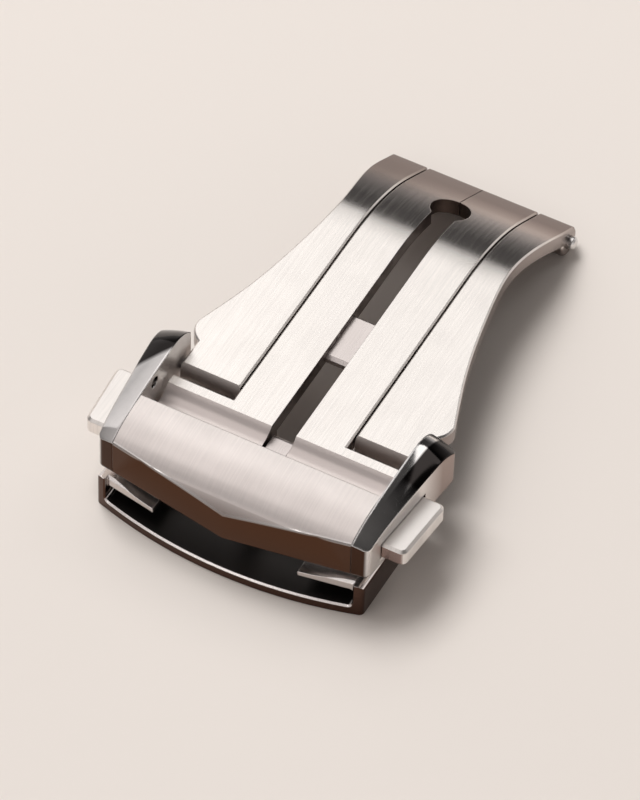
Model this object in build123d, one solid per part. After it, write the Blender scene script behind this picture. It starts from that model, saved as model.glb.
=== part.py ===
from build123d import *
import os
from math import asin, cos, radians, sin, sqrt, tan

os.makedirs("parts", exist_ok=True)

# Folding clasp for a watch strap, closed. Millimetres. The sizes are laid out with z = 0 on the table,
# y = 0 at the tip of the cover's V and x = 0 on the plane of symmetry, +Y towards the far hinge.
# At the end the whole part moves along Y, so that its origin is at the middle of its footprint.

# Fits
PIN_PLAY = 0.03  # radial play of a part that turns on a pin
SLIDE_PLAY = 0.08  # gap all round a sliding button
TONGUE_PLAY = 0.12  # gap each side of the tongue
CATCH_PLAY = 0.05  # a catch stands this far clear of its keeper, sideways
OVERRUN = 5.0  # how far a cutting solid runs past what it cuts
TINY = 0.001  # two heights or places closer than this count as one
CROSSWISE_SHARE = 0.996  # an edge runs across the part when this share of its direction is along X

# Cover: a curved plate with a V front, between two cheeks
STRAP_HALF = 9.0  # half the clear width between the cheeks
V_DEPTH = 1.15  # how far the V falls back over that half width
PLATE_REAR = 5.15
PLATE_TOP = 7.32
PLATE_WALL = 1.05
CROWN_RADIUS = 10.0
NOSE_RADIUS = 4.0
NOSE_START_SHARE = 0.3  # sine of the slope where the crown's arc meets the nose's
SKIRT_WALL = 0.9
SKIRT_FOOT = 3.55  # underside of the skirt and cheeks, at the sides
TIP_DIP = 0.44  # the tip of the V hangs this much lower
V_BEVEL = 0.1

CHEEK_FRONT_WALL = 1.25
CHEEK_REAR_WALL = 2.05
CHEEK_FLARE = 0.2  # the inner wall opens by this much towards the rear
CHEEK_REAR = 12.2
CHEEK_PEAK = 9.7
CHEEK_TOP = 7.73
CHEEK_STEP = 3.6  # where a cheek's top leaves the plate's curve
CHEEK_MID = 6.9
CHEEK_MID_DROP = 0.16
CHEEK_REAR_DROP = 1.0
CHEEK_SHOULDER_SHARE = 0.7
CHEEK_SHOULDER_DROP_SHARE = 0.42
CHEEK_FALL_SHARES = (0.28, 0.42, 0.52)  # slopes of a cheek's top, from the inner edge outwards
CHEEK_NOSE_ROUND = 0.55
CHEEK_TAIL_ROUND = 0.6

# Spring-bar bores in the cheeks' inner walls
BAR_Y = 7.04
BAR_Z = 6.69
BAR_BORE = 0.45
BAR_DEPTH = 0.8
TROUGH_RADIUS = 1.97  # room for the strap's end round the bar

# Hinge of the cover on the ends of the wings
COVER_HINGE_Y = 11.3
COVER_HINGE_Z = 4.35
COVER_PIN_RADIUS = 0.45
COVER_PIN_IN_WING = 1.4
COVER_PIN_IN_CHEEK = 0.95
COVER_KNUCKLE = 0.85

# Inner blade: head with crossbar and trough, two rails, knuckles
HEAD_FRONT = 5.6
HEAD_REAR = 9.27
HEAD_SIDE_GAP = 0.1  # from the head to each cheek
HEAD_TOP = 5.4
CROSSBAR_DEPTH = 0.75
FOOT_WALL = 0.6
SLOT_HALF = 0.92
RAIL_HALF = 4.33
BLADE_WALL = 1.2
BLADE_RISE_DEG = 1.2
BEND_START = 26.5
BEND_RADIUS = 16.2
BEND_STOP_DEG = 30.0  # slope of the blades' last stretch, down to the knuckles
BLADE_BEVEL = 0.12  # bevel along the long upper edges
KNUCKLE_RADIUS = 1.1
KEYHOLE_Y = 32.65
KEYHOLE_RADIUS = 1.45
SEAM = 0.06

BRIDGE_FRONT = 16.1
BRIDGE_REAR = 20.4
BRIDGE_SINK = 0.5
BRIDGE_WALL = 0.6
BRIDGE_BEVEL = 0.25

FAR_PIN_RADIUS = 0.5
FAR_PIN_NUB = 0.5
FAR_PIN_DOME = 0.15

# Outer blade: two wings beside the rails
GROOVE = 0.11
WING_SIDE_GAP = 0.05  # from a wing's end to its cheek
WING_SHOULDER = 0.87  # how far a shoulder reaches behind its cheek
WING_SHOULDER_START = 12.75
WING_SHOULDER_Y = 14.4
WING_SHOULDER_SAG = -0.28
WING_FLANK_Y = 18.5
WING_FLANK_SHARE = 0.861  # half widths along the wing, of the width at the shoulder
WING_NECK_Y = 24.3
WING_NECK_SHARE = 0.73
WING_WAIST_Y = 28.8
WING_WAIST_SHARE = 0.677
WING_END_SHARE = 0.73
WING_LIP_Y = 10.6
WING_LIP_BULGE = 0.33

# Strap frame: floor, side walls and inward flanges
FRAME_FRONT = -0.6
FRAME_BOW = 1.6  # the front edge falls back this much at the sides
FRAME_WALL = 0.75
FRAME_FLOOR = 0.75
FRAME_GAP = 0.4  # from half the strap's width to the side wall
FRAME_TOP = 2.85
FRAME_CORNER = 0.4
FRAME_SHOULDER = 0.45  # rounding along the side walls' outer upper edges
FRAME_ROOM_ROUND = 0.35  # rounding of the corners between floor, walls and flanges
FRAME_LIP = 0.13  # bevel along the front edge of that room
FLANGE_WALL = 0.75
FLANGE_REACH = 3.9  # how far a flange stands in from its wall
FLANGE_FRONT = 0.4
FLANGE_BACKSET = 0.7
FLANGE_BEVEL = 0.2
FLANGE_DIP = 0.4  # the flanges' front ends are this much thinner at their tips
FLANGE_DIP_LENGTH = 3.0

RIVET_INSET = 2.5  # from the side wall
RIVET_FRONT = 6.6
RIVET_PITCH = 1.8
RIVET_RADIUS = 0.4
RIVET_HEAD = 0.6
RIVET_HEAD_HEIGHT = 0.14
RIVET_RISE = 1.0  # above the flange

# Tongue and its stud
TONGUE_PIVOT_Y = 8.4
TONGUE_PIVOT_Z = 4.0
TONGUE_KNUCKLE = 0.45
TONGUE_PIN_RADIUS = 0.25
TONGUE_PIN_HALF = 1.8
TONGUE_BLOCK_FRONT = 7.2
TONGUE_FRONT = 3.1
TONGUE_WALL = 0.6
TONGUE_ROUND_SHARE = 0.9  # rounding of the tongue's end, of half its width
TONGUE_UNDER_GAP = 0.12
STUD_Y = 3.9
STUD_RADIUS = 0.55
STUD_TIP_GAP = 0.25
STUD_TIP_BEVEL = 0.25
STUD_NECK = 0.3

# Buttons in the cheeks' windows
BUTTON_FRONT = 2.9
BUTTON_REAR = 8.1
BUTTON_LOW = 4.1
BUTTON_HIGH = 5.5
BUTTON_PROUD = 1.7
BUTTON_FLARE = 0.42
BUTTON_CORNER = 0.5  # rounding of the outer corners in plan
BUTTON_EDGE = 0.2
BUTTON_TRAVEL = 0.65
BUTTON_SEAT_GAP = 0.15
POCKET_WEB = 0.45
SHANK_FRONT = 4.15
SHANK_REAR = 5.25
SHANK_LOW = 4.7
SHANK_HIGH = 5.4
SHANK_REACH = 0.9  # how far a shank comes in between the cheeks

CATCH_WALL = 0.35
CATCH_LAND = 0.6
CATCH_FOOT = 3.2
TOOTH_REACH = 0.25
TOOTH_HEIGHT = 0.4
CATCH_RIVET_RADIUS = 0.18
CATCH_RIVET_HEAD = 0.32
CATCH_RIVET_HEAD_HEIGHT = 0.14
CATCH_RIVET_DEPTH = 0.6

KEEPER_WALL = 0.3
KEEPER_LEDGE_LOW = 3.85
KEEPER_LEDGE_WALL = 0.35
KEEPER_FOOT = 0.95
KEEPER_FOOT_WALL = 0.2
KEEPER_MARGIN = 0.1

SPRING_Y = 6.6
SPRING_BORE = 0.52
SPRING_RADIUS = 0.36
SPRING_WIRE = 0.07
SPRING_TURNS = 2
SPRING_SIDES = 4
SPRING_SEAT = 1.2  # depth of the spring's bore in the button

# Latch plate under the cover, and its screws
LATCH_GAP = 0.1
LATCH_WALL = 0.25
LATCH_FRONT = 2.7
LATCH_REAR = 4.95
LATCH_SIDE_GAP = 0.1
SCREW_INSET = 4.4  # from the cheek
SCREW_Y = 3.85
SCREW_RADIUS = 0.35
SCREW_HEAD = 0.75
SCREW_HEAD_HEIGHT = 0.28
SCREW_SLOT = 0.2
BOSS_RADIUS = 0.9

# Worked out from the sizes above
RISE = radians(BLADE_RISE_DEG)
KNUCKLE_Z = KNUCKLE_RADIUS


def blade_top(y):
    """Height of the blades' straight stretch at y."""
    return HEAD_TOP + (y - HEAD_REAR) * tan(RISE)


BEND_Y = BEND_START + BEND_RADIUS * sin(RISE)
BEND_Z = blade_top(BEND_START) - BEND_RADIUS * cos(RISE)
BEND_STOP = radians(BEND_STOP_DEG)
BEND_REACH = BEND_RADIUS - KNUCKLE_RADIUS
KNUCKLE_RUN = (BEND_Z + BEND_REACH * cos(BEND_STOP) - KNUCKLE_Z) / tan(BEND_STOP)
KNUCKLE_Y = BEND_Y + BEND_REACH * sin(BEND_STOP) + KNUCKLE_RUN
REAR = KNUCKLE_Y + KNUCKLE_RADIUS
MIDDLE = (FRAME_FRONT + REAR) / 2

CHEEK_REAR_IN = STRAP_HALF + CHEEK_FLARE
HEAD_HALF = STRAP_HALF - HEAD_SIDE_GAP
FRAME_IN = STRAP_HALF + FRAME_GAP
FRAME_OUT = FRAME_IN + FRAME_WALL
FLANGE_HALF = FRAME_IN - FLANGE_REACH
RIVET_X = FRAME_IN - RIVET_INSET
FLANGE_LOW = FRAME_TOP - FLANGE_WALL
WING_IN = RAIL_HALF + GROOVE
WING_HALF = STRAP_HALF - WING_SIDE_GAP
WING_SHOULDER_HALF = STRAP_HALF + WING_SHOULDER
WING_FLANK_HALF = WING_SHOULDER_HALF * WING_FLANK_SHARE
WING_NECK_HALF = WING_SHOULDER_HALF * WING_NECK_SHARE
WING_WAIST_HALF = WING_SHOULDER_HALF * WING_WAIST_SHARE
WING_END_HALF = WING_SHOULDER_HALF * WING_END_SHARE
FOOT_TOP = FRAME_TOP + FOOT_WALL
SHANK_END = STRAP_HALF - SHANK_REACH
SCREW_X = STRAP_HALF - SCREW_INSET
CATCH_IN = SHANK_END - CATCH_LAND
TOOTH_TIP = CATCH_IN + CATCH_WALL + TOOTH_REACH
KEEPER_TIP = TOOTH_TIP + CATCH_PLAY
KEEPER_TOP = SHANK_LOW - CATCH_PLAY - KEEPER_MARGIN
LATCH_TOP = SHANK_HIGH + LATCH_GAP + LATCH_WALL
POCKET_FLOOR = STRAP_HALF + CHEEK_FLARE / 2 + POCKET_WEB
BUTTON_INNER = POCKET_FLOOR + BUTTON_TRAVEL + BUTTON_SEAT_GAP
SPRING_Z = (BUTTON_LOW + BUTTON_HIGH) / 2


def v_front(x):
    """Where the V's front face is at x."""
    return V_DEPTH * abs(x) / STRAP_HALF


def cheek_in(y):
    """Inner wall of a cheek at y."""
    share = (y - v_front(STRAP_HALF)) / (CHEEK_REAR - v_front(STRAP_HALF))
    return STRAP_HALF + CHEEK_FLARE * share


def cheek_out(y):
    """Outer wall of a cheek at y."""
    share = (y - v_front(STRAP_HALF)) / (CHEEK_REAR - v_front(STRAP_HALF))
    return cheek_in(y) + CHEEK_FRONT_WALL + (CHEEK_REAR_WALL - CHEEK_FRONT_WALL) * share


def across(face, x0, x1):
    """Solid with a (y, z) outline, from x0 to x1."""
    return extrude(Plane.YZ.offset(x0) * face, amount=x1 - x0, dir=(1, 0, 0))


def falling(face, x0, x1, slope):
    """Solid with a (y, z) outline at x0, which falls by that slope towards x1."""
    return extrude(Plane.YZ.offset(x0) * face, amount=(x1 - x0) * sqrt(1 + slope**2), dir=(1, 0, -slope))


def upward(face, z0, z1):
    """Solid with an (x, y) outline, from z0 to z1."""
    return extrude(Pos(0, 0, z0) * face, amount=z1 - z0, dir=(0, 0, 1))


def along(face, y0, y1):
    """Solid with an (x, z) outline, from y0 to y1."""
    return extrude(Plane.XZ.offset(-y0) * face, amount=y1 - y0, dir=(0, 1, 0))


def block(x0, x1, y0, y1, z0, z1):
    """Box between two corners."""
    return Pos((x0 + x1) / 2, (y0 + y1) / 2, (z0 + z1) / 2) * Box(x1 - x0, y1 - y0, z1 - z0)


def shape(*points):
    """Face through corner points."""
    return Polygon(*points, align=None)


def rod(x0, x1, y, z, radius):
    """Round bar along X."""
    return across(Pos(y, z) * Circle(radius), x0, x1)


def post(x, y, z0, z1, radius):
    """Round bar along Z."""
    return upward(Pos(x, y) * Circle(radius), z0, z1)


def trim(part, point, normal):
    """The part without what lies on the normal's side of a plane."""
    return split(part, bisect_by=Plane(origin=point, z_dir=normal), keep=Keep.BOTTOM)


def other_side(part):
    """The same part on the left."""
    return mirror(part, about=Plane.YZ)


def arc_point(radius, angle):
    """Point on an arc about the centre of the blades' bend, at an angle from the vertical."""
    return (BEND_Y + radius * sin(angle), BEND_Z + radius * cos(angle))


def blade_face(y0):
    """Side outline of a blade from y0 to its knuckle: straight, bent down, and straight again."""
    inner = BEND_RADIUS - BLADE_WALL
    middle = (BEND_STOP - RISE) / 2
    fall = (sin(BEND_STOP), cos(BEND_STOP))
    tip = (KNUCKLE_Y + KNUCKLE_RADIUS * fall[0], KNUCKLE_Z + KNUCKLE_RADIUS * fall[1])
    low_tip = (tip[0] - BLADE_WALL * fall[0], tip[1] - BLADE_WALL * fall[1])
    low_start = (y0, blade_top(y0) - BLADE_WALL / cos(RISE))
    band = make_face([
        Line((y0, blade_top(y0)), arc_point(BEND_RADIUS, -RISE)),
        ThreePointArc(
            arc_point(BEND_RADIUS, -RISE), arc_point(BEND_RADIUS, middle), arc_point(BEND_RADIUS, BEND_STOP)
        ),
        Line(arc_point(BEND_RADIUS, BEND_STOP), tip),
        Line(tip, low_tip),
        Line(low_tip, arc_point(inner, BEND_STOP)),
        ThreePointArc(arc_point(inner, BEND_STOP), arc_point(inner, middle), arc_point(inner, -RISE)),
        Line(arc_point(inner, -RISE), low_start),
        Line(low_start, (y0, blade_top(y0))),
    ])
    return band + Pos(KNUCKLE_Y, KNUCKLE_Z) * Circle(KNUCKLE_RADIUS)


def bevelled(blade):
    """Blade with a bevel along its upper edges, other than those that run across it."""
    rims = []
    for edge in blade.edges():
        middle = edge @ 0.5
        upper = middle.Z > blade_roof(middle.Y) - TINY
        if upper and abs((edge % 0.5).X) < CROSSWISE_SHARE:
            rims.append(edge)
    return chamfer(rims, BLADE_BEVEL)


def blade_roof(y):
    """Height of a blade's upper face at y, before the knuckle."""
    bend_end = arc_point(BEND_RADIUS, BEND_STOP)
    if y < arc_point(BEND_RADIUS, -RISE)[0]:
        return blade_top(y)
    if y < bend_end[0]:
        return BEND_Z + sqrt(BEND_RADIUS**2 - (y - BEND_Y) ** 2)
    return bend_end[1] - (y - bend_end[0]) * tan(BEND_STOP)


def crown_z(y, wall):
    """Height of the cover's crown at y, a wall below its top."""
    return PLATE_TOP - CROWN_RADIUS + sqrt((CROWN_RADIUS - wall) ** 2 - (PLATE_REAR - y) ** 2)


def plate_face(wall, rear):
    """Side outline under the cover's curve, a wall below its top, open downwards."""
    crown = CROWN_RADIUS - wall
    nose = NOSE_RADIUS - wall
    turn = asin(NOSE_START_SHARE)
    crown_y = PLATE_REAR
    crown_centre = PLATE_TOP - CROWN_RADIUS
    join = (crown_y - crown * sin(turn), crown_centre + crown * cos(turn))
    nose_y = join[0] + nose * sin(turn)
    nose_z = join[1] - nose * cos(turn)
    low_turn = asin(nose_y / NOSE_RADIUS)
    tip = (nose_y - nose * sin(low_turn), nose_z + nose * cos(low_turn))
    half_turn = (turn + low_turn) / 2
    half_crown = turn / 2
    top_rear = (crown_y, crown_centre + crown)
    curve = [
        ThreePointArc(tip, (nose_y - nose * sin(half_turn), nose_z + nose * cos(half_turn)), join),
        ThreePointArc(
            join, (crown_y - crown * sin(half_crown), crown_centre + crown * cos(half_crown)), top_rear
        ),
    ]
    corners = [top_rear, (rear, top_rear[1]), (rear, 0), (tip[0], 0), tip]
    walls = [Line(a, b) for a, b in zip(corners, corners[1:]) if a != b]
    return make_face(curve + walls)


def make_cover_plate():
    """Curved plate with its V skirt, hollow below and open to the rear, with bosses for two screws."""
    front = v_front(STRAP_HALF)
    plan = shape((0, 0), (STRAP_HALF, front), (cheek_in(PLATE_REAR), PLATE_REAR), (0, PLATE_REAR))
    half = across(plate_face(0, PLATE_REAR), 0, FRAME_OUT) & upward(plan, 0, PLATE_TOP)
    half = trim(half, (0, 0, SKIRT_FOOT - TIP_DIP), (TIP_DIP / STRAP_HALF, 0, -1))
    front_face = half.faces().sort_by(Axis.Y)[0]
    half = chamfer(front_face.edges().sort_by(Axis.Z)[-1], V_BEVEL)
    skirt = SKIRT_WALL * sqrt(1 + (V_DEPTH / STRAP_HALF) ** 2)
    hollow_plan = shape(
        (0, skirt), (FRAME_OUT, v_front(FRAME_OUT) + skirt), (FRAME_OUT, PLATE_REAR), (0, PLATE_REAR)
    )
    hollow = across(plate_face(PLATE_WALL, PLATE_REAR), 0, FRAME_OUT)
    hollow &= upward(hollow_plan, 0, PLATE_TOP)
    half -= hollow
    under = crown_z(SCREW_Y, PLATE_WALL)
    half += post(SCREW_X, SCREW_Y, LATCH_TOP, under + PLATE_WALL / 2, BOSS_RADIUS)
    half -= post(SCREW_X, SCREW_Y, 0, under, SCREW_RADIUS)
    return half + other_side(half)


def cheek_body():
    """Right cheek without its holes: tapering wall with a humped top that falls outwards."""
    front = v_front(STRAP_HALF)
    nose_out = cheek_out(front)
    plan = shape(
        (STRAP_HALF, front), (nose_out, v_front(nose_out)), (cheek_out(CHEEK_REAR), CHEEK_REAR),
        (CHEEK_REAR_IN, CHEEK_REAR),
    )
    plan = fillet(plan.vertices().sort_by(Axis.Y)[1], CHEEK_NOSE_ROUND)
    plan = fillet(plan.vertices().sort_by(Axis.X)[-1], CHEEK_TAIL_ROUND)
    step = (CHEEK_STEP, crown_z(CHEEK_STEP, 0))
    mid = (CHEEK_MID, CHEEK_TOP - CHEEK_MID_DROP)
    peak = (CHEEK_PEAK, CHEEK_TOP)
    tail = (CHEEK_REAR, CHEEK_TOP - CHEEK_REAR_DROP)
    run = CHEEK_REAR - CHEEK_PEAK
    shoulder = (
        CHEEK_PEAK + run * CHEEK_SHOULDER_SHARE, CHEEK_TOP - CHEEK_REAR_DROP * CHEEK_SHOULDER_DROP_SHARE
    )
    hump = make_face([
        ThreePointArc(step, mid, peak), ThreePointArc(peak, shoulder, tail), Line(tail, (CHEEK_REAR, 0)),
        Line((CHEEK_REAR, 0), (CHEEK_STEP, 0)), Line((CHEEK_STEP, 0), step),
    ])
    before_step = shape((0, 0), (CHEEK_STEP, 0), (CHEEK_STEP, CHEEK_TOP), (0, CHEEK_TOP))
    nose = plate_face(0, PLATE_REAR) & before_step
    cheek = Part()
    step_wide = (CHEEK_FLARE + CHEEK_REAR_WALL) / len(CHEEK_FALL_SHARES)
    x = STRAP_HALF
    drop = 0
    for slope in CHEEK_FALL_SHARES:
        strip = falling(nose, x, x + step_wide, slope) + falling(hump, x, x + step_wide, slope)
        cheek += Pos(0, 0, -drop) * strip
        x += step_wide
        drop += step_wide * slope
    return cheek & upward(plan, SKIRT_FOOT, CHEEK_TOP)


def make_cheek():
    """Right cheek with its spring-bar bore, hinge-pin bore, and button pocket with a window in its floor."""
    cheek = cheek_body()
    cheek -= rod(STRAP_HALF - OVERRUN, cheek_in(BAR_Y) + BAR_DEPTH, BAR_Y, BAR_Z, BAR_BORE)
    cheek -= rod(
        STRAP_HALF - OVERRUN, cheek_in(COVER_HINGE_Y) + COVER_PIN_IN_CHEEK + PIN_PLAY, COVER_HINGE_Y,
        COVER_HINGE_Z, COVER_PIN_RADIUS + PIN_PLAY,
    )
    cheek -= block(
        POCKET_FLOOR, POCKET_FLOOR + OVERRUN, BUTTON_FRONT - SLIDE_PLAY, BUTTON_REAR + SLIDE_PLAY,
        BUTTON_LOW - SLIDE_PLAY, BUTTON_HIGH + SLIDE_PLAY,
    )
    return cheek - block(
        STRAP_HALF - CATCH_WALL, POCKET_FLOOR + POCKET_WEB, SHANK_FRONT - SLIDE_PLAY,
        SHANK_REAR + SLIDE_PLAY, SHANK_LOW - SLIDE_PLAY, SHANK_HIGH + SLIDE_PLAY,
    )


def make_button():
    """Right button: cap that flares to the rear, shank through the cheek, bore for the spring."""
    front_face = cheek_out(BUTTON_FRONT) + BUTTON_PROUD
    rear_face = front_face + BUTTON_FLARE
    plan = shape(
        (BUTTON_INNER, BUTTON_FRONT), (front_face, BUTTON_FRONT), (rear_face, BUTTON_REAR),
        (BUTTON_INNER, BUTTON_REAR),
    )
    columns = plan.vertices().group_by(Axis.X)
    plan = fillet(columns[-1] + columns[-2], BUTTON_CORNER)
    cap = upward(plan, BUTTON_LOW, BUTTON_HIGH)
    rims = [e for e in cap.edges() if abs((e % 0.5).Z) < TINY and (e @ 0.5).X > BUTTON_INNER + TINY]
    cap = chamfer(rims, BUTTON_EDGE)
    shank = block(SHANK_END, BUTTON_INNER, SHANK_FRONT, SHANK_REAR, SHANK_LOW, SHANK_HIGH)
    cap -= rod(BUTTON_INNER, BUTTON_INNER + SPRING_SEAT, SPRING_Y, SPRING_Z, SPRING_BORE)
    rivet_y = (SHANK_FRONT + SHANK_REAR) / 2
    rivet_z = (SHANK_LOW + SHANK_HIGH) / 2
    shank -= rod(SHANK_END, SHANK_END + CATCH_RIVET_DEPTH, rivet_y, rivet_z, CATCH_RIVET_RADIUS)
    return cap + shank


def make_catch():
    """Right catch: hook riveted to the shank's end, its tooth turned outwards."""
    outer = CATCH_IN + CATCH_WALL
    tooth_top = CATCH_FOOT + TOOTH_REACH + TOOTH_HEIGHT
    outline = shape(
        (CATCH_IN, SHANK_HIGH), (SHANK_END, SHANK_HIGH), (SHANK_END, SHANK_LOW),
        (outer, SHANK_LOW - TOOTH_REACH), (outer, tooth_top), (TOOTH_TIP, tooth_top - CATCH_PLAY),
        (TOOTH_TIP, CATCH_FOOT + TOOTH_REACH), (outer, CATCH_FOOT), (CATCH_IN, CATCH_FOOT),
    )
    hook = along(outline, SHANK_FRONT, SHANK_REAR)
    rivet_y = (SHANK_FRONT + SHANK_REAR) / 2
    rivet_z = (SHANK_LOW + SHANK_HIGH) / 2
    return hook - rod(CATCH_IN, SHANK_END, rivet_y, rivet_z, CATCH_RIVET_RADIUS)


def make_catch_rivet():
    """Right catch's rivet, with its head on the inside."""
    y = (SHANK_FRONT + SHANK_REAR) / 2
    z = (SHANK_LOW + SHANK_HIGH) / 2
    stem = rod(CATCH_IN, SHANK_END + CATCH_RIVET_DEPTH, y, z, CATCH_RIVET_RADIUS)
    head = rod(CATCH_IN - CATCH_RIVET_HEAD_HEIGHT, CATCH_IN, y, z, CATCH_RIVET_HEAD)
    return stem + head


def make_keeper():
    """Right keeper: bracket on the frame's flange, with a ledge over the catch's tooth."""
    outer = HEAD_HALF
    inner = outer - KEEPER_WALL
    ledge_top = KEEPER_LEDGE_LOW + KEEPER_LEDGE_WALL
    foot_top = FRAME_TOP + KEEPER_FOOT_WALL
    outline = shape(
        (outer, FRAME_TOP), (outer, KEEPER_TOP), (inner, KEEPER_TOP), (KEEPER_TIP, ledge_top),
        (KEEPER_TIP, KEEPER_LEDGE_LOW), (inner, KEEPER_LEDGE_LOW), (inner, foot_top),
        (outer - KEEPER_FOOT, foot_top), (outer - KEEPER_FOOT, FRAME_TOP),
    )
    return along(outline, SHANK_FRONT - KEEPER_MARGIN, SHANK_REAR + KEEPER_MARGIN)


def helix_turns(radius, length, turns):
    """Wire of arcs along a helix about Z, two arcs to each half turn, tangent where they meet."""
    halves = turns * 2
    rise = length / (radians(180) * halves)
    arcs = []
    for half in range(halves):
        ends = []
        for angle in (radians(180) * half, radians(180) * (half + 1)):
            point = Vector(radius * cos(angle), radius * sin(angle), rise * angle)
            ends.append((point, Vector(-radius * sin(angle), radius * cos(angle), rise).normalized()))
        (start, leave), (end, arrive) = ends
        chord = end - start
        slack = 2 - 2 * leave.dot(arrive)
        lean = chord.dot(leave + arrive)
        handle = (sqrt(lean**2 + slack * chord.dot(chord)) - lean) / slack
        turn = end - arrive * handle - (start + leave * handle)
        middle = start + leave * handle + turn * 0.5
        arcs += [TangentArc(start, middle, tangent=leave), TangentArc(middle, end, tangent=turn)]
    return Wire(arcs)


def make_spring():
    """Right button's coil spring, from the window's floor to the bottom of the button's bore."""
    length = BUTTON_INNER + SPRING_SEAT - POCKET_FLOOR - SPRING_WIRE * 2
    path = helix_turns(SPRING_RADIUS, length, SPRING_TURNS)
    wire = Plane(origin=path @ 0, z_dir=path % 0) * RegularPolygon(SPRING_WIRE, SPRING_SIDES)
    coil = sweep(wire, path=path)
    return Pos(POCKET_FLOOR + SPRING_WIRE, SPRING_Y, SPRING_Z) * Rot(0, 90, 0) * coil


def make_latch_plate():
    """Thin plate across the hollow of the cover, over the shanks."""
    side = STRAP_HALF - LATCH_SIDE_GAP
    plan = shape(
        (-side, LATCH_FRONT), (side, LATCH_FRONT), (side, LATCH_REAR), (-side, LATCH_REAR)
    )
    plate = upward(plan, LATCH_TOP - LATCH_WALL, LATCH_TOP)
    for x in (-SCREW_X, SCREW_X):
        plate -= post(x, SCREW_Y, 0, LATCH_TOP, SCREW_RADIUS)
    return plate


def make_latch_screw():
    """Right screw of the latch plate, with a slotted head below."""
    head_top = LATCH_TOP - LATCH_WALL
    under = crown_z(SCREW_Y, PLATE_WALL)
    screw = post(SCREW_X, SCREW_Y, head_top, under, SCREW_RADIUS)
    screw += post(SCREW_X, SCREW_Y, head_top - SCREW_HEAD_HEIGHT, head_top, SCREW_HEAD)
    return screw - block(
        SCREW_X - SCREW_HEAD, SCREW_X + SCREW_HEAD, SCREW_Y - SCREW_SLOT / 2, SCREW_Y + SCREW_SLOT / 2,
        head_top - SCREW_HEAD_HEIGHT, head_top - SCREW_HEAD_HEIGHT / 2,
    )


def head_face():
    """Side outline of the inner blade's head, with the trough before the crossbar."""
    bar_front = HEAD_REAR - CROSSBAR_DEPTH
    front_z = BAR_Z - sqrt(TROUGH_RADIUS**2 - (BAR_Y - HEAD_FRONT) ** 2)
    rear_z = BAR_Z - sqrt(TROUGH_RADIUS**2 - (bar_front - BAR_Y) ** 2)
    return make_face([
        Line((HEAD_REAR, HEAD_TOP), (bar_front, rear_z)),
        ThreePointArc((bar_front, rear_z), (BAR_Y, BAR_Z - TROUGH_RADIUS), (HEAD_FRONT, front_z)),
        Line((HEAD_FRONT, front_z), (HEAD_FRONT, FRAME_TOP)),
        Line((HEAD_FRONT, FRAME_TOP), (HEAD_REAR, FRAME_TOP)),
        Line((HEAD_REAR, FRAME_TOP), (HEAD_REAR, HEAD_TOP)),
    ])


def make_inner_blade():
    """Head across the frame and two rails, with slot, keyhole, seam and knuckles."""
    blade = across(head_face(), -HEAD_HALF, HEAD_HALF)
    rails = across(blade_face(HEAD_REAR - CROSSBAR_DEPTH / 2), -RAIL_HALF, RAIL_HALF)
    blade += bevelled(rails)
    blade -= block(-SLOT_HALF, SLOT_HALF, HEAD_FRONT - OVERRUN, HEAD_REAR, FOOT_TOP, HEAD_TOP + OVERRUN)
    blade -= block(-SLOT_HALF, SLOT_HALF, HEAD_REAR, KEYHOLE_Y, 0, HEAD_TOP + OVERRUN)
    blade -= post(0, KEYHOLE_Y, 0, HEAD_TOP + OVERRUN, KEYHOLE_RADIUS)
    blade -= block(-SEAM / 2, SEAM / 2, KEYHOLE_Y, REAR + OVERRUN, -OVERRUN, HEAD_TOP + OVERRUN)
    blade -= rod(-RAIL_HALF, RAIL_HALF, KNUCKLE_Y, KNUCKLE_Z, FAR_PIN_RADIUS)
    blade -= rod(-TONGUE_PIN_HALF, TONGUE_PIN_HALF, TONGUE_PIVOT_Y, TONGUE_PIVOT_Z, TONGUE_PIN_RADIUS)
    for x in (-RIVET_X, RIVET_X):
        for y in (RIVET_FRONT, RIVET_FRONT + RIVET_PITCH):
            blade -= post(x, y, FRAME_TOP, FRAME_TOP + RIVET_RISE, RIVET_RADIUS)
    return blade


def make_bridge():
    """Bridge across the slot, set below the rails' top, with a bevelled front and rear edge."""
    front_top = blade_top(BRIDGE_FRONT) - BRIDGE_SINK
    rear_top = blade_top(BRIDGE_REAR) - BRIDGE_SINK
    outline = shape(
        (BRIDGE_FRONT, front_top - BRIDGE_WALL), (BRIDGE_FRONT, front_top - BRIDGE_BEVEL),
        (BRIDGE_FRONT + BRIDGE_BEVEL, front_top), (BRIDGE_REAR - BRIDGE_BEVEL, rear_top),
        (BRIDGE_REAR, rear_top - BRIDGE_BEVEL), (BRIDGE_REAR, rear_top - BRIDGE_WALL),
    )
    return across(outline, -SLOT_HALF, SLOT_HALF)


def make_far_pin():
    """Pin through the four knuckles, its end standing out at the right."""
    left = -WING_END_HALF
    right = WING_END_HALF + FAR_PIN_NUB
    pin = rod(left, right, KNUCKLE_Y, KNUCKLE_Z, FAR_PIN_RADIUS)
    return chamfer(pin.faces().sort_by(Axis.X)[-1].edges(), FAR_PIN_DOME)


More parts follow.
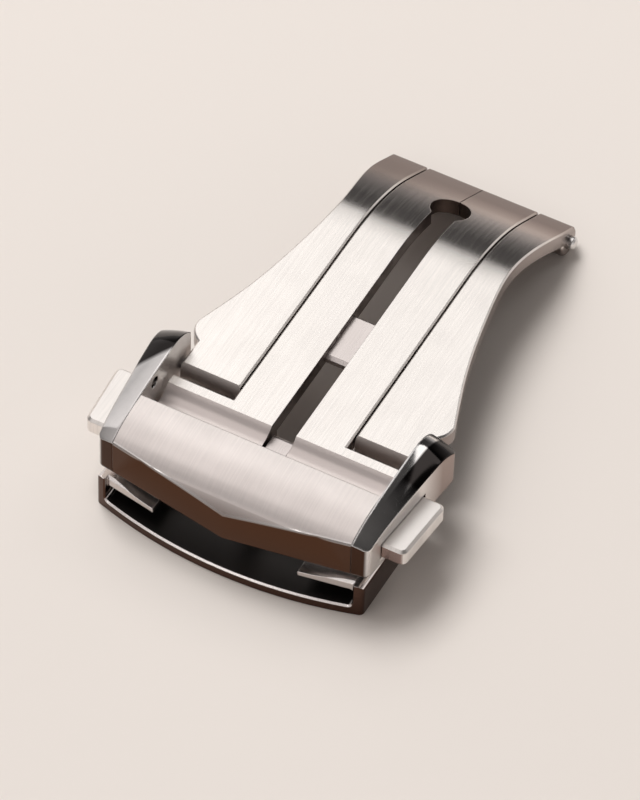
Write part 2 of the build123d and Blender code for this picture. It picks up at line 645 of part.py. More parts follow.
def wing_plan():
    """Plan of the right wing: straight between the cheeks, a shoulder, then a waist."""
    near = WING_LIP_Y - KNUCKLE_RADIUS
    far = REAR + OVERRUN
    start = (WING_HALF, WING_SHOULDER_START)
    shoulder = (WING_SHOULDER_HALF, WING_SHOULDER_Y)
    lean = (WING_FLANK_HALF - WING_SHOULDER_HALF) / (WING_FLANK_Y - WING_SHOULDER_Y)
    flank = Spline(
        shoulder, (WING_FLANK_HALF, WING_FLANK_Y), (WING_NECK_HALF, WING_NECK_Y),
        (WING_WAIST_HALF, WING_WAIST_Y), (WING_END_HALF, KNUCKLE_Y - KNUCKLE_RADIUS),
        tangents=[(lean, 1), (0, 1)],
    )
    end = (WING_END_HALF, KNUCKLE_Y - KNUCKLE_RADIUS)
    turn = SagittaArc(start, shoulder, WING_SHOULDER_SAG)
    corners = [end, (WING_END_HALF, far), (WING_IN, far), (WING_IN, near), (WING_HALF, near), start]
    return make_face([turn, flank] + [Line(a, b) for a, b in zip(corners, corners[1:])])


def make_wing():
    """Right wing: blade beside the rail, with a thick lip at the cover's hinge and a far knuckle."""
    near = COVER_HINGE_Y + COVER_KNUCKLE
    low = COVER_HINGE_Z - COVER_KNUCKLE
    top = (WING_LIP_Y, blade_top(WING_LIP_Y))
    foot = (WING_LIP_Y, low)
    near_top = blade_top(near)
    corners = [foot, (COVER_HINGE_Y, low), (near, near_top - BLADE_WALL), (near, near_top), top]
    front = ThreePointArc(top, (WING_LIP_Y - WING_LIP_BULGE, (top[1] + low) / 2), foot)
    lip = make_face([front] + [Line(a, b) for a, b in zip(corners, corners[1:])])
    solid = across(lip, WING_IN, WING_HALF)
    solid += across(blade_face(near), WING_IN, WING_SHOULDER_HALF) & upward(wing_plan(), 0, CHEEK_TOP)
    solid = bevelled(solid)
    solid -= rod(WING_IN, WING_END_HALF, KNUCKLE_Y, KNUCKLE_Z, FAR_PIN_RADIUS + PIN_PLAY)
    solid -= rod(WING_HALF - COVER_PIN_IN_WING, WING_HALF, COVER_HINGE_Y, COVER_HINGE_Z, COVER_PIN_RADIUS)
    return solid


def make_cover_pin():
    """Right pin of the cover's hinge, fast in the wing and running in the cheek."""
    return rod(
        WING_HALF - COVER_PIN_IN_WING, cheek_in(COVER_HINGE_Y) + COVER_PIN_IN_CHEEK, COVER_HINGE_Y,
        COVER_HINGE_Z, COVER_PIN_RADIUS,
    )


def frame_plan():
    """Plan of the strap frame, bowed in front."""
    side_y = FRAME_FRONT + FRAME_BOW
    plan = make_face([
        ThreePointArc((-FRAME_OUT, side_y), (0, FRAME_FRONT), (FRAME_OUT, side_y)),
        Line((FRAME_OUT, side_y), (FRAME_OUT, HEAD_REAR)),
        Line((FRAME_OUT, HEAD_REAR), (-FRAME_OUT, HEAD_REAR)),
        Line((-FRAME_OUT, HEAD_REAR), (-FRAME_OUT, side_y)),
    ])
    return fillet(plan.vertices(), FRAME_CORNER)


def flange_dip():
    """What is cut from above a flange's front end: two arcs that fall from the wall to the tip."""
    half = FLANGE_REACH / 2
    tip = (FLANGE_HALF, FRAME_TOP - FLANGE_DIP)
    middle = (FLANGE_HALF + half, FRAME_TOP - FLANGE_DIP / 2)
    wall = (FRAME_IN, FRAME_TOP)
    above = FRAME_TOP + FLANGE_DIP
    low_arc = TangentArc(tip, middle, tangent=(1, 0))
    return make_face([
        low_arc, TangentArc(middle, wall, tangent=low_arc % 1), Line(wall, (FRAME_IN, above)),
        Line((FRAME_IN, above), (FLANGE_HALF, above)), Line((FLANGE_HALF, above), tip),
    ])


def frame_body():
    """Floor and side walls, with a bevel round the front of the room between them."""
    side_front = FRAME_FRONT + FRAME_BOW
    middle = (FRAME_FLOOR + FLANGE_LOW) / 2
    section = Pos(0, FRAME_TOP / 2) * Rectangle(FRAME_OUT * 2, FRAME_TOP)
    section = fillet(section.vertices().group_by(Axis.Y)[-1], FRAME_SHOULDER)
    body = along(section, FRAME_FRONT, HEAD_REAR) & upward(frame_plan(), 0, FRAME_TOP)
    body -= along(frame_room(), FRAME_FRONT - OVERRUN, HEAD_REAR + OVERRUN)
    body -= block(-FRAME_IN, FRAME_IN, FRAME_FRONT - OVERRUN, HEAD_REAR + OVERRUN, middle, FRAME_TOP)
    lip = []
    for edge in body.edges():
        spot = edge @ 0.5
        inside = abs(spot.X) < FRAME_IN + TINY and TINY < spot.Z < FRAME_TOP - TINY
        if inside and spot.Y < side_front and (edge @ 0).Y < side_front and (edge @ 1).Y < side_front:
            lip.append(edge)
    return chamfer(lip, FRAME_LIP)


def frame_room():
    """Section of the room for the strap, with rounded corners."""
    height = FLANGE_LOW - FRAME_FLOOR
    return Pos(0, FRAME_FLOOR + height / 2) * RectangleRounded(FRAME_IN * 2, height, FRAME_ROOM_ROUND)


def make_strap_frame():
    """Floor, side walls and inward flanges, open in front and behind for the strap."""
    flange = shape(
        (FLANGE_HALF, FLANGE_FRONT), (FRAME_IN, FLANGE_FRONT + FLANGE_BACKSET), (FRAME_IN, HEAD_REAR),
        (FLANGE_HALF, HEAD_REAR),
    )
    flange = upward(flange, FLANGE_LOW - FRAME_ROOM_ROUND, FRAME_TOP)
    flange -= along(frame_room(), FRAME_FRONT - OVERRUN, HEAD_REAR + OVERRUN)
    slant = FLANGE_BACKSET / (FRAME_IN - FLANGE_HALF)
    flange = trim(
        flange, (FLANGE_HALF, FLANGE_FRONT + FLANGE_BEVEL, FRAME_TOP), (slant, -1, 1)
    )
    flange -= along(flange_dip(), FLANGE_FRONT - OVERRUN, FLANGE_FRONT + FLANGE_DIP_LENGTH)
    for x in (-RIVET_X, RIVET_X):
        for y in (RIVET_FRONT, RIVET_FRONT + RIVET_PITCH):
            flange -= post(x, y, 0, FRAME_TOP, RIVET_RADIUS)
    return frame_body() + flange + other_side(flange)


def make_rivets():
    """Four rivets through the flanges into the head, heads below."""
    rivets = Part()
    for x in (-RIVET_X, RIVET_X):
        for y in (RIVET_FRONT, RIVET_FRONT + RIVET_PITCH):
            rivets += post(x, y, FLANGE_LOW, FRAME_TOP + RIVET_RISE, RIVET_RADIUS)
            rivets += post(x, y, FLANGE_LOW - RIVET_HEAD_HEIGHT, FLANGE_LOW, RIVET_HEAD)
    return rivets


def make_tongue():
    """Tongue: block and round knuckle in the slot, an arm forward under the cover."""
    half = SLOT_HALF - TONGUE_PLAY
    low = FOOT_TOP + TONGUE_UNDER_GAP
    block_top = TONGUE_PIVOT_Z + TONGUE_KNUCKLE
    arm_top = low + TONGUE_WALL
    side = make_face([
        ThreePointArc(
            (TONGUE_PIVOT_Y, block_top), (TONGUE_PIVOT_Y + TONGUE_KNUCKLE, TONGUE_PIVOT_Z),
            (TONGUE_PIVOT_Y, TONGUE_PIVOT_Z - TONGUE_KNUCKLE),
        ),
        Line((TONGUE_PIVOT_Y, TONGUE_PIVOT_Z - TONGUE_KNUCKLE), (TONGUE_BLOCK_FRONT, low)),
        Line((TONGUE_BLOCK_FRONT, low), (TONGUE_FRONT, low)),
        Line((TONGUE_FRONT, low), (TONGUE_FRONT, arm_top)),
        Line((TONGUE_FRONT, arm_top), (TONGUE_BLOCK_FRONT - TONGUE_WALL, arm_top)),
        Line((TONGUE_BLOCK_FRONT - TONGUE_WALL, arm_top), (TONGUE_BLOCK_FRONT, block_top)),
        Line((TONGUE_BLOCK_FRONT, block_top), (TONGUE_PIVOT_Y, block_top)),
    ])
    tongue = across(side, -half, half)
    tongue = fillet(tongue.edges().filter_by(Axis.Z).group_by(Axis.Y)[0], half * TONGUE_ROUND_SHARE)
    tongue -= rod(-half, half, TONGUE_PIVOT_Y, TONGUE_PIVOT_Z, TONGUE_PIN_RADIUS + PIN_PLAY)
    return tongue - post(0, STUD_Y, low, arm_top, STUD_NECK)


def make_stud():
    """Stud that enters a hole of the strap, riveted into the tongue."""
    low = FOOT_TOP + TONGUE_UNDER_GAP
    tip = FRAME_FLOOR + STUD_TIP_GAP
    stud = post(0, STUD_Y, tip, low, STUD_RADIUS)
    stud = chamfer(stud.faces().sort_by(Axis.Z)[0].edges(), STUD_TIP_BEVEL)
    return stud + post(0, STUD_Y, low, low + TONGUE_WALL, STUD_NECK)


def make_tongue_pin():
    """Pin that the tongue turns on, fast in the head."""
    return rod(-TONGUE_PIN_HALF, TONGUE_PIN_HALF, TONGUE_PIVOT_Y, TONGUE_PIVOT_Z, TONGUE_PIN_RADIUS)


def save(name, part):
    """Write a node, moved to the part's own origin."""
    export_step(Pos(0, -MIDDLE, 0) * part, f"parts/{name}.step")


def save_pair(name, part):
    """Write a right-hand node and its mirror image."""
    save(name + "_right", part)
    save(name + "_left", other_side(part))


save("inner_blade", make_inner_blade())
save("slot_bridge", make_bridge())
save("strap_frame", make_strap_frame())
save("frame_rivets", make_rivets())
save("far_hinge_pin", make_far_pin())
save("tongue_pin", make_tongue_pin())
save("tongue", make_tongue())
save("tongue_stud", make_stud())
save_pair("keeper", make_keeper())
save_pair("wing", make_wing())
save_pair("cover_pin", make_cover_pin())
save("cover_plate", make_cover_plate())
save_pair("cheek", make_cheek())
save("latch_plate", make_latch_plate())
save_pair("latch_screw", make_latch_screw())
save_pair("button", make_button())
save_pair("button_catch", make_catch())
save_pair("catch_rivet", make_catch_rivet())
save_pair("button_spring", make_spring())
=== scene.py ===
import math

import bpy
from mathutils import Euler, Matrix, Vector

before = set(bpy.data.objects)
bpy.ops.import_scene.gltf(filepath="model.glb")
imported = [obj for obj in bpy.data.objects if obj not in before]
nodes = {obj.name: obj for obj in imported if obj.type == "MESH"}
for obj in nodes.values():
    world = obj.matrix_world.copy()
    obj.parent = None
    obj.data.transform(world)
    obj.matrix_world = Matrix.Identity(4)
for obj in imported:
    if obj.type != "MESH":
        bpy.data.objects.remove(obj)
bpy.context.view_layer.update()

MM = 0.001

X, Y, Z = (1, 0, 0), (0, 1, 0), (0, 0, 1)
V_TIP = -18.78  # the point of the cover's V along Y, in millimetres
V_SLOPE = 0.128  # how far the V's edge lies back for each millimetre sideways


# Nodes of the materials: places are the object's own, in millimetres, so that the grain keeps its size

def new_material(name):
    """Material with one shader: the material, its node tree and the shader."""
    material = bpy.data.materials.new(name)
    material.use_nodes = True
    tree = material.node_tree
    tree.nodes.clear()
    output = tree.nodes.new("ShaderNodeOutputMaterial")
    shader = tree.nodes.new("ShaderNodeBsdfPrincipled")
    tree.links.new(shader.outputs["BSDF"], output.inputs["Surface"])
    return material, tree, shader


def place_and_normal(tree):
    """The object's own coordinates, in millimetres, and its own normal."""
    coordinates = tree.nodes.new("ShaderNodeTexCoord")
    scale = tree.nodes.new("ShaderNodeVectorMath")
    scale.operation = "SCALE"
    scale.inputs["Scale"].default_value = 1 / MM
    tree.links.new(coordinates.outputs["Object"], scale.inputs[0])
    return scale.outputs[0], coordinates.outputs["Normal"]


def noise(tree, place, stretch, scale, detail):
    """Noise over a place stretched by a factor per axis."""
    mapping = tree.nodes.new("ShaderNodeMapping")
    mapping.inputs["Scale"].default_value = stretch
    tree.links.new(place, mapping.inputs["Vector"])
    texture = tree.nodes.new("ShaderNodeTexNoise")
    texture.inputs["Scale"].default_value = scale
    texture.inputs["Detail"].default_value = detail
    tree.links.new(mapping.outputs[0], texture.inputs["Vector"])
    return texture.outputs["Fac"]


def remap(tree, value, low, high, to_low=0, to_high=1):
    """Value from one range to another, clamped."""
    node = tree.nodes.new("ShaderNodeMapRange")
    node.inputs["From Min"].default_value = low
    node.inputs["From Max"].default_value = high
    node.inputs["To Min"].default_value = to_low
    node.inputs["To Max"].default_value = to_high
    tree.links.new(value, node.inputs["Value"])
    return node.outputs["Result"]


# Sockets of a Mix node, which has a set for each kind of value
MIX_FACTOR = 0
MIX_FIRST_COLOUR = 6
MIX_SECOND_COLOUR = 7
MIX_COLOUR_RESULT = 2


def mix(tree, factor, first, second):
    """Mix of two colours by a factor's socket; each of the two is a colour or a socket."""
    node = tree.nodes.new("ShaderNodeMix")
    node.data_type = "RGBA"
    tree.links.new(factor, node.inputs[MIX_FACTOR])
    for index, value in ((MIX_FIRST_COLOUR, first), (MIX_SECOND_COLOUR, second)):
        if hasattr(value, "links"):
            tree.links.new(value, node.inputs[index])
        else:
            node.inputs[index].default_value = (*value, 1)
    return node.outputs[MIX_COLOUR_RESULT]


def axis_of(tree, vector, axis):
    """One component of a vector."""
    split = tree.nodes.new("ShaderNodeSeparateXYZ")
    tree.links.new(vector, split.inputs[0])
    return split.outputs[axis]


def math_node(tree, operation, first, second):
    """Sum, product or other of two values; each is a number or a socket."""
    node = tree.nodes.new("ShaderNodeMath")
    node.operation = operation
    for socket, value in zip(node.inputs, (first, second)):
        if hasattr(value, "links"):
            tree.links.new(value, socket)
        else:
            socket.default_value = value
    return node.outputs[0]


def along(tree, vector, direction):
    """Dot product of a vector and a direction."""
    product = tree.nodes.new("ShaderNodeVectorMath")
    product.operation = "DOT_PRODUCT"
    product.inputs[1].default_value = direction
    tree.links.new(vector, product.inputs[0])
    return product.outputs["Value"]


def cross_grain(tree):
    """The object's X direction, across the grain of its brushed faces."""
    across = tree.nodes.new("ShaderNodeCombineXYZ")
    across.inputs[0].default_value = 1
    turned = tree.nodes.new("ShaderNodeVectorTransform")
    turned.vector_type = "VECTOR"
    turned.convert_from = "OBJECT"
    turned.convert_to = "WORLD"
    tree.links.new(across.outputs[0], turned.inputs[0])
    return turned.outputs[0]


# Conditions: where on a piece a tint holds, from not at all at low to fully at high

def facing(direction, low, high):
    """Condition on the way that a face looks."""
    return "normal", direction, low, high


def beyond(direction, low, high):
    """Condition on how far a point lies along a direction, in millimetres."""
    return "place", direction, low, high


def tint(colour, rough, *conditions):
    """Colour and roughness that steel takes where all the conditions hold; most tints here paint in light,
    shade and reflection.
    """
    return colour, rough, conditions


def amount_of(tree, conditions, normal, place):
    """How far all the conditions hold at a point: the product of each one's share."""
    amount = 1
    for source, direction, low, high in conditions:
        vector = normal if source == "normal" else place
        share = remap(tree, along(tree, vector, direction), low, high)
        amount = math_node(tree, "MULTIPLY", amount, share)
    return amount


# Steel: fine scratches along the grain and broad clouds

FINE_SCALE = 2.0
FINE_DETAIL = 3
CLOUD_STRETCH = (0.35, 0.35, 0.35)
CLOUD_SCALE = 1.0
CLOUD_DETAIL = 2
CLOUD_ROUGHNESS = 0.02
TONE_RANGE = (0.35, 0.65)
ROUGHNESS_RANGE = (0.3, 0.7)
SCRATCH_HEIGHT = 0.01 * MM
BEVEL_SAMPLES = 8


def steel(name, colour, rough, grain, depth, spread=0.06, edge=0.06, streak=0, tints=()):
    """Steel whose grain is stretched along one axis: fine scratches in its roughness, bump and tone.

    depth is the strength of the scratches, spread how much tone and roughness vary, edge the radius in
    millimetres that its edges are shaded with, and streak how far reflections spread across the grain.
    A tint covers those before it; most tints here paint in light, shade and reflection.
    """
    material, tree, shader = new_material(name)
    place, normal = place_and_normal(tree)
    fine = noise(tree, place, grain, FINE_SCALE, FINE_DETAIL)
    cloud = noise(tree, place, CLOUD_STRETCH, CLOUD_SCALE, CLOUD_DETAIL)
    light = tuple(min(1, c * (1 + spread)) for c in colour)
    dark = tuple(c * (1 - spread) for c in colour)
    tone = mix(tree, remap(tree, fine, *TONE_RANGE), dark, light)
    scratched = remap(tree, fine, *ROUGHNESS_RANGE, rough - spread / 2, rough + spread / 2)
    clouded = remap(tree, cloud, *ROUGHNESS_RANGE, -CLOUD_ROUGHNESS, CLOUD_ROUGHNESS)
    roughness = math_node(tree, "ADD", scratched, clouded)
    for tint_colour, tint_rough, conditions in tints:
        amount = amount_of(tree, conditions, normal, place)
        tone = mix(tree, amount, tone, tint_colour)
        kept = math_node(tree, "MULTIPLY", roughness, math_node(tree, "SUBTRACT", 1, amount))
        roughness = math_node(tree, "ADD", kept, math_node(tree, "MULTIPLY", amount, tint_rough))
    tree.links.new(tone, shader.inputs["Base Color"])
    tree.links.new(roughness, shader.inputs["Roughness"])
    shader.inputs["Metallic"].default_value = 1
    if streak:
        shader.inputs["Anisotropic"].default_value = streak
        tree.links.new(cross_grain(tree), shader.inputs["Tangent"])
    bevel = tree.nodes.new("ShaderNodeBevel")
    bevel.samples = BEVEL_SAMPLES
    bevel.inputs["Radius"].default_value = edge * MM
    bump = tree.nodes.new("ShaderNodeBump")
    bump.inputs["Strength"].default_value = depth
    bump.inputs["Distance"].default_value = SCRATCH_HEIGHT
    tree.links.new(fine, bump.inputs["Height"])
    tree.links.new(bevel.outputs[0], bump.inputs["Normal"])
    tree.links.new(bump.outputs[0], shader.inputs["Normal"])
    return material


# Noise is finer along an axis with a larger factor, so the grain runs along the axes with a small one
ALONG_Y = (4.0, 0.12, 0.12)
ALONG_X = (0.12, 4.0, 4.0)
EVEN = (1, 1, 1)
EVEN_FINE = (2, 2, 2)

# Pale steels; those of the crown's front, the trough, the rim, the lips and the right button's top are
# painted light and painted highlight
CREAM = (0.84, 0.80, 0.77)
PLATE_CREAM = (0.80, 0.745, 0.72)
CROWN_PAINTED_LIGHT_CREAM = (0.84, 0.775, 0.75)
TROUGH_PAINTED_LIGHT_CREAM = (0.87, 0.79, 0.76)
SILVER = (0.72, 0.70, 0.69)
MAUVE = (0.70, 0.64, 0.62)
RIM_PAINTED_HIGHLIGHT = (1, 0.97, 0.95)
LIP_PAINTED_LIGHT = (1, 0.95, 0.92)
BUTTON_PAINTED_HIGHLIGHT_WHITE = (0.96, 0.92, 0.89)
FRAME_WHITE = (0.92, 0.87, 0.85)

# Mid and dark steels; the taupes, browns and near-blacks are painted shade and painted reflection
FLANGE_GREY = (0.60, 0.55, 0.53)
HARD_GREY = (0.4, 0.39, 0.39)
BEND_PAINTED_REFLECTION_TAUPE = (0.38, 0.30, 0.27)
SIDE_PAINTED_REFLECTION_TAUPE = (0.34, 0.29, 0.27)
CHEEK_PAINTED_REFLECTION_TAUPE = (0.32, 0.24, 0.21)
BUTTON_PAINTED_REFLECTION_TAUPE = (0.30, 0.22, 0.20)
UNDERSIDE_PAINTED_SHADE = (0.22, 0.19, 0.18)
FAR_PAINTED_REFLECTION_BROWN = (0.16, 0.11, 0.095)
BEND_PAINTED_REFLECTION_BROWN = (0.15, 0.11, 0.095)
SLOT_PAINTED_SHADE = (0.10, 0.072, 0.06)
FRAME_PAINTED_REFLECTION_BROWN = (0.085, 0.045, 0.032)
PLATE_PAINTED_REFLECTION_BROWN = (0.08, 0.038, 0.022)
CHEEK_PAINTED_REFLECTION_BROWN = (0.05, 0.022, 0.012)
FRAME_FLOOR_PAINTED_SHADE = (0.09, 0.083, 0.08)
CHEEK_PAINTED_DARK_REFLECTION = (0.03, 0.026, 0.025)

# Faces by the way that they look, and the halves of the object
FRONT = facing(Y, -0.75, -0.95)
UPWARD = facing(Z, 0.3, 0.5)
UPRIGHT = facing(Z, 0.3, 0.05)
UNDERSIDE = facing(Z, -0.3, -0.8)
RIGHT_SIDE = facing(X, 0.7, 0.95)
LEFT_SIDE = facing(X, -0.7, -0.95)
IN_RIGHT_HALF = beyond(X, 0, 1)
IN_LEFT_HALF = beyond(X, 0, -1)

# Plate: the steep front of its crown, painted lighter, and the rim along each side of the V, with a
# painted highlight
RIM = (V_TIP + 0.18, V_TIP + 0.12)
CROWN_FRONT = facing(Y, -0.36, -0.72)
RIGHT_RIM = beyond((-V_SLOPE, 1, 0), *RIM)
LEFT_RIM = beyond((V_SLOPE, 1, 0), *RIM)

# Blades: the walls of the slot, with painted shade, the wings' lips and the trough, painted lighter, and
# the steep part before the far hinge, with a painted reflection that is darker to the left and at the far
# end
IN_SLOT = (beyond(X, 1.8, 1.6), beyond(X, -1.8, -1.6))
LIP = (facing(Y, -0.2, -0.6), beyond(Y, -9, -8.8), beyond(Y, -7, -7.2))
BEND = facing(Y, 0.26, 0.52)
MORE_TO_LEFT = beyond(X, 3, -6)
AT_FAR_END = beyond(Y, 15.6, 17.4)
TROUGH = (beyond(Y, -10.2, -10.3), UPWARD)

# Cheeks: the rear of the left one's top and the outer part of the right one's, both with a painted dark
# reflection, and the right one's rear, with a painted brown reflection on its outer wall
LEFT_REAR = beyond((-1.25, 1, 0), 1.9, 2.5)
RIGHT_OUTER = beyond((1, -0.064, 0), 10.3, 10.42)
BEHIND_NOSE = beyond(Y, -14, -11.5)
RIGHT_REAR = beyond(Y, -11, -8.5)

# Buttons: the right one's top, with a painted highlight, and the whole of the right one, whose front has a
# painted reflection
RIGHT_BUTTON_TOP = (beyond(X, 9, 10), facing(Z, 0.8, 0.95))
RIGHT_BUTTON = beyond(X, -5, 5)

# Strap frame: its flanges, all that looks up, and its floor, with painted shade
FLANGES = (
    beyond(Z, 1.8, 2.1), facing(Z, -0.5, -0.2), beyond(X, 9.45, 9.35), beyond(X, -9.45, -9.35),
)
FRAME_UPWARD = facing(Z, 0.35, 0.6)
FRAME_FLOOR = (facing(Z, 0.85, 0.98), beyond(Z, 1.5, 1.2))

plate = steel(
    "plate_brushed", PLATE_CREAM, rough=0.36, grain=ALONG_Y, depth=0.08, streak=0.5,
    tints=[
        # Painted light: lighter, rougher steel on the crown's steep front lifts its shade
        tint(CROWN_PAINTED_LIGHT_CREAM, 0.5, CROWN_FRONT),
        # Painted highlight: near-white, smoother steel along each side of the V's rim
        tint(RIM_PAINTED_HIGHLIGHT, 0.15, RIGHT_RIM),
        tint(RIM_PAINTED_HIGHLIGHT, 0.15, LEFT_RIM),
        # Painted reflection: the V's forward face is a dark brown
        tint(PLATE_PAINTED_REFLECTION_BROWN, 0.12, FRONT),
    ],
)
blade = steel(
    "blade_brushed", CREAM, rough=0.22, grain=ALONG_Y, depth=0.06, streak=0.9,
    tints=[
        # Painted reflection: the blades' upright faces are a darker taupe
        tint(SIDE_PAINTED_REFLECTION_TAUPE, 0.25, UPRIGHT),
        # Painted shade: the blades' undersides are dark and dull
        tint(UNDERSIDE_PAINTED_SHADE, 0.35, UNDERSIDE),
        # Painted shade: the walls of the slot are dark brown
        tint(SLOT_PAINTED_SHADE, 0.3, UPRIGHT, *IN_SLOT),
        # Painted light: the wings' lips are near-white and matt
        tint(LIP_PAINTED_LIGHT, 0.9, *LIP),
        # Painted reflection: the steep part before the far hinge is taupe, browner to the left and at the
        # far end
        tint(BEND_PAINTED_REFLECTION_TAUPE, 0.24, BEND),
        tint(BEND_PAINTED_REFLECTION_BROWN, 0.2, BEND, MORE_TO_LEFT),
        tint(FAR_PAINTED_REFLECTION_BROWN, 0.2, BEND, AT_FAR_END),
        # Painted light: the trough is a lighter cream
        tint(TROUGH_PAINTED_LIGHT_CREAM, 0.36, *TROUGH),
    ],
)
polished = steel(
    "polished", SILVER, rough=0.07, grain=EVEN, depth=0, spread=0.02, edge=0.2,
    tints=[
        # Painted reflection: near-black on the rear of the left cheek's top and the outer rear of the
        # right one's
        tint(CHEEK_PAINTED_DARK_REFLECTION, 0.08, UPWARD, LEFT_REAR, IN_LEFT_HALF),
        tint(CHEEK_PAINTED_DARK_REFLECTION, 0.08, UPWARD, RIGHT_OUTER, IN_RIGHT_HALF, BEHIND_NOSE),
        # Painted reflection: the cheeks' front faces are dark brown
        tint(CHEEK_PAINTED_REFLECTION_BROWN, 0.1, FRONT),
        tint(CREAM, 0.4, RIGHT_SIDE),
        tint(CREAM, 0.4, LEFT_SIDE),
        # Painted reflection: the right cheek's outer wall is taupe towards its rear
        tint(CHEEK_PAINTED_REFLECTION_TAUPE, 0.3, RIGHT_SIDE, RIGHT_REAR, IN_RIGHT_HALF),
    ],
)
button = steel(
    "button_brushed", CREAM, rough=0.33, grain=ALONG_Y, depth=0.08,
    tints=[
        # Painted highlight: the right button's top is whiter
        tint(BUTTON_PAINTED_HIGHLIGHT_WHITE, 0.4, *RIGHT_BUTTON_TOP),
        # Painted reflection: the right button's front face is taupe
        tint(BUTTON_PAINTED_REFLECTION_TAUPE, 0.2, FRONT, RIGHT_BUTTON),
    ],
)
# Painted reflection: the frame's faces are dark brown, but for those that look up, which are white
frame_steel = steel(
    "frame_polished", FRAME_PAINTED_REFLECTION_BROWN, rough=0.14, grain=ALONG_X, depth=0.05, edge=0.08,
    tints=[
        tint(FLANGE_GREY, 0.2, *FLANGES),
        tint(FRAME_WHITE, 0.22, FRAME_UPWARD),
        # Painted shade: the frame's floor inside is near-black
        tint(FRAME_FLOOR_PAINTED_SHADE, 0.4, *FRAME_FLOOR),
    ],
)
pin_steel = steel("pin_turned", SILVER, rough=0.2, grain=ALONG_X, depth=0.05)
hard_steel = steel("hard_satin", HARD_GREY, rough=0.35, grain=EVEN_FINE, depth=0.1)
bridge_steel = steel("bridge_brushed", MAUVE, rough=0.3, grain=ALONG_Y, depth=0.08)

# Materials of the nodes; the tints of most of them paint in light, shade and reflection
FINISHES_AND_PAINTED_LIGHT = {
    "cover_plate": plate,
    "cheek_left": polished,
    "cheek_right": polished,
    "inner_blade": blade,
    "wing_left": blade,
    "wing_right": blade,
    "slot_bridge": bridge_steel,
    "strap_frame": frame_steel,
    "tongue": bridge_steel,
    "button_left": button,
    "button_right": button,
}
TURNED_PIECES = ("pin", "screw", "rivet", "stud")
SHARP_ANGLE = 24
WELD_DISTANCE = 0.001 * MM


def smooth_group():
    """Geometry nodes that shade a mesh smooth, but for edges whose faces meet at more than SHARP_ANGLE."""
    group = bpy.data.node_groups.new("smooth_below_limit", "GeometryNodeTree")
    group.interface.new_socket(name="Geometry", in_out="INPUT", socket_type="NodeSocketGeometry")
    group.interface.new_socket(name="Geometry", in_out="OUTPUT", socket_type="NodeSocketGeometry")
    start = group.nodes.new("NodeGroupInput")
    weld = group.nodes.new("GeometryNodeMergeByDistance")
    weld.inputs["Distance"].default_value = WELD_DISTANCE
    faces = group.nodes.new("GeometryNodeSetShadeSmooth")
    edges = group.nodes.new("GeometryNodeSetShadeSmooth")
    edges.domain = "EDGE"
    edges.inputs["Shade Smooth"].default_value = False
    angle = group.nodes.new("GeometryNodeInputMeshEdgeAngle")
    sharp = group.nodes.new("FunctionNodeCompare")
    sharp.operation = "GREATER_THAN"
    sharp.inputs[1].default_value = math.radians(SHARP_ANGLE)
    end = group.nodes.new("NodeGroupOutput")
    group.links.new(start.outputs[0], weld.inputs["Geometry"])
    group.links.new(weld.outputs[0], faces.inputs["Geometry"])
    group.links.new(faces.outputs[0], edges.inputs["Geometry"])
    group.links.new(angle.outputs["Unsigned Angle"], sharp.inputs[0])
    group.links.new(sharp.outputs[0], edges.inputs["Selection"])
    group.links.new(edges.outputs[0], end.inputs[0])
    return group


smooth = smooth_group()
for name, node in nodes.items():
    node.modifiers.new("smooth", "NODES").node_group = smooth
    if name in FINISHES_AND_PAINTED_LIGHT:
        finish = FINISHES_AND_PAINTED_LIGHT[name]
    elif any(word in name for word in TURNED_PIECES):
        finish = pin_steel
    else:
        finish = hard_steel
    node.data.materials.clear()
    node.data.materials.append(finish)


# Floor

FLOOR_SIZE = 6
FLOOR_COLOUR = (0.80, 0.74, 0.69)
FLOOR_CLOUD_COLOUR = tuple(c * 0.98 for c in FLOOR_COLOUR)
FLOOR_CLOUD_STRETCH = (0.02, 0.02, 0.02)
FLOOR_ROUGHNESS = 0.7


def floor_material():
    """Matt, almost even material."""
    material, tree, shader = new_material("floor_pale")
    place, _ = place_and_normal(tree)
    cloud = noise(tree, place, FLOOR_CLOUD_STRETCH, CLOUD_SCALE, CLOUD_DETAIL)
    tree.links.new(mix(tree, cloud, FLOOR_CLOUD_COLOUR, FLOOR_COLOUR), shader.inputs["Base Color"])
    shader.inputs["Roughness"].default_value = FLOOR_ROUGHNESS
    return material


bpy.ops.mesh.primitive_plane_add(size=FLOOR_SIZE)
floor = bpy.context.object
floor.name = "floor"
floor.data.materials.append(floor_material())


# Lamps, in metres and watts

NEAR = 0.6
FAR = 1.2


def softbox(name, azimuth, elevation, distance, size, watts, colour=(1, 1, 1)):
    """Rectangular lamp that faces the object; azimuth 0 is towards +Y, 90 towards -X."""
    data = bpy.data.lights.new(name, "AREA")
    data.shape = "RECTANGLE"
    data.size, data.size_y = size
    data.energy = watts
    data.color = colour
    lamp = bpy.data.objects.new(name, data)
    bpy.context.scene.collection.objects.link(lamp)
    a, e = math.radians(azimuth), math.radians(elevation)
    out = Vector((-math.sin(a) * math.cos(e), math.cos(a) * math.cos(e), math.sin(e)))
    lamp.location = out * distance
    lamp.rotation_euler = out.to_track_quat("Z", "Y").to_euler()
    return lamp


softbox("key_behind", 36, 52, NEAR, size=(0.34, 0.38), watts=0.455, colour=(1, 0.985, 0.965))
softbox("card_above", 88, 72, NEAR, size=(0.44, 0.26), watts=0.25, colour=(1, 0.96, 0.94))
softbox("card_left", 63, 25, NEAR, size=(0.34, 0.38), watts=0.22, colour=(1, 0.97, 0.96))
softbox("card_right", -25, 46, NEAR, size=(0.22, 0.2), watts=0.2, colour=(1, 0.98, 0.96))
softbox("strip_front", 158, 34, NEAR, size=(0.5, 0.04), watts=0.09, colour=(1, 0.98, 0.96))
fill = softbox("fill_side", 65, 62, FAR, size=(0.6, 0.6), watts=9.6)
fill.visible_glossy = False


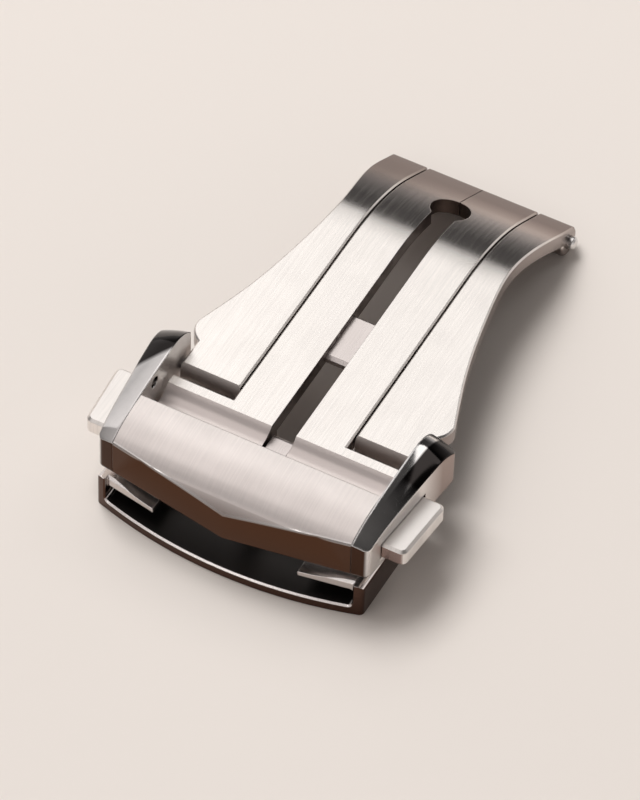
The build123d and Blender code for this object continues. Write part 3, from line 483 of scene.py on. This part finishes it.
# World: warm greys, darker behind and to the right, mid in front, and pale low on the far right

# Greys of each sky as (height of the direction, grey), from the horizon to the zenith
WARMTH = (1, 0.95, 0.93)
RIGHT_SKY = [(0, 0.5), (0.06, 0.45), (0.2, 0.14), (0.34, 0.04), (0.8, 0.04), (0.97, 0.1), (1, 0.2)]
LEFT_SKY = [(0, 0.55), (0.1, 0.4), (0.22, 0.2), (0.36, 0.1), (0.55, 0.35), (0.75, 0.6), (1, 0.55)]
FRONT_SKY = [(0, 0.55), (0.2, 0.46), (0.6, 0.46), (1, 0.55)]
LOW_RIGHT = (0.75, 0.71, 0.69)

# Where a direction passes from one sky to the next, as components of the direction
TO_LEFT = (-0.25, -0.65)
TO_FRONT = (0.25, 0.0)
NOT_RIGHT = (0.12, -0.05)
FAR_FRONT = (-0.42, -0.72)
FAR_RIGHT = (0.1, 0.4)
LOW = (0.5, 0.2)


def warm(grey):
    """Warm grey, as a ramp takes it."""
    return *(grey * share for share in WARMTH), 1


def sky(tree, height, steps):
    """Ramp of warm greys over the height of a direction."""
    ramp = tree.nodes.new("ShaderNodeValToRGB")
    elements = ramp.color_ramp.elements
    horizon, *between, zenith = steps
    for element, (position, grey) in zip(elements, (horizon, zenith)):
        element.position = position
        element.color = warm(grey)
    for position, grey in between:
        elements.new(position).color = warm(grey)
    tree.links.new(height, ramp.inputs[0])
    return ramp.outputs[0]


def studio_world():
    """World whose colour depends on the direction alone."""
    world = bpy.data.worlds.new("studio")
    world.use_nodes = True
    tree = world.node_tree
    direction = tree.nodes.new("ShaderNodeTexCoord").outputs["Generated"]
    sideways, backwards, height = (axis_of(tree, direction, axis) for axis in range(3))
    to_left = remap(tree, sideways, *TO_LEFT)
    to_front = remap(tree, backwards, *TO_FRONT)
    not_right = remap(tree, sideways, *NOT_RIGHT)
    lit = math_node(tree, "ADD", to_left, math_node(tree, "MULTIPLY", to_front, not_right))
    sides = mix(tree, lit, sky(tree, height, RIGHT_SKY), sky(tree, height, LEFT_SKY))
    far_front = remap(tree, backwards, *FAR_FRONT)
    around = mix(tree, far_front, sides, sky(tree, height, FRONT_SKY))
    far_right = remap(tree, sideways, *FAR_RIGHT)
    low_right = math_node(tree, "MULTIPLY", far_right, remap(tree, height, *LOW))
    background = tree.nodes["Background"]
    tree.links.new(mix(tree, low_right, around, LOW_RIGHT), background.inputs["Color"])
    background.inputs["Strength"].default_value = 1
    return world


bpy.context.scene.world = studio_world()


# Camera, at the photograph's angle: its place in millimetres and its turn in degrees

CAMERA_PLACE = (121.743, V_TIP - 225.558, 307.968)
CAMERA_TURN = (41.3797, -1.2835, 28.4278)
SENSOR_WIDTH = 36
IMAGE_WIDTH = 640
FOCAL_LENGTH_PIXELS = 6000
CLIP_NEAR = 0.01
CLIP_FAR = 20

camera_data = bpy.data.cameras.new("camera")
camera_data.sensor_width = SENSOR_WIDTH
camera_data.sensor_fit = "HORIZONTAL"
camera_data.lens = SENSOR_WIDTH * FOCAL_LENGTH_PIXELS / IMAGE_WIDTH
camera_data.clip_start = CLIP_NEAR
camera_data.clip_end = CLIP_FAR
camera = bpy.data.objects.new("camera", camera_data)
bpy.context.scene.collection.objects.link(camera)
camera.location = Vector(CAMERA_PLACE) * MM
camera.rotation_euler = Euler([math.radians(angle) for angle in CAMERA_TURN], "XYZ")
bpy.context.scene.camera = camera
bpy.context.scene.view_settings.view_transform = "Standard"
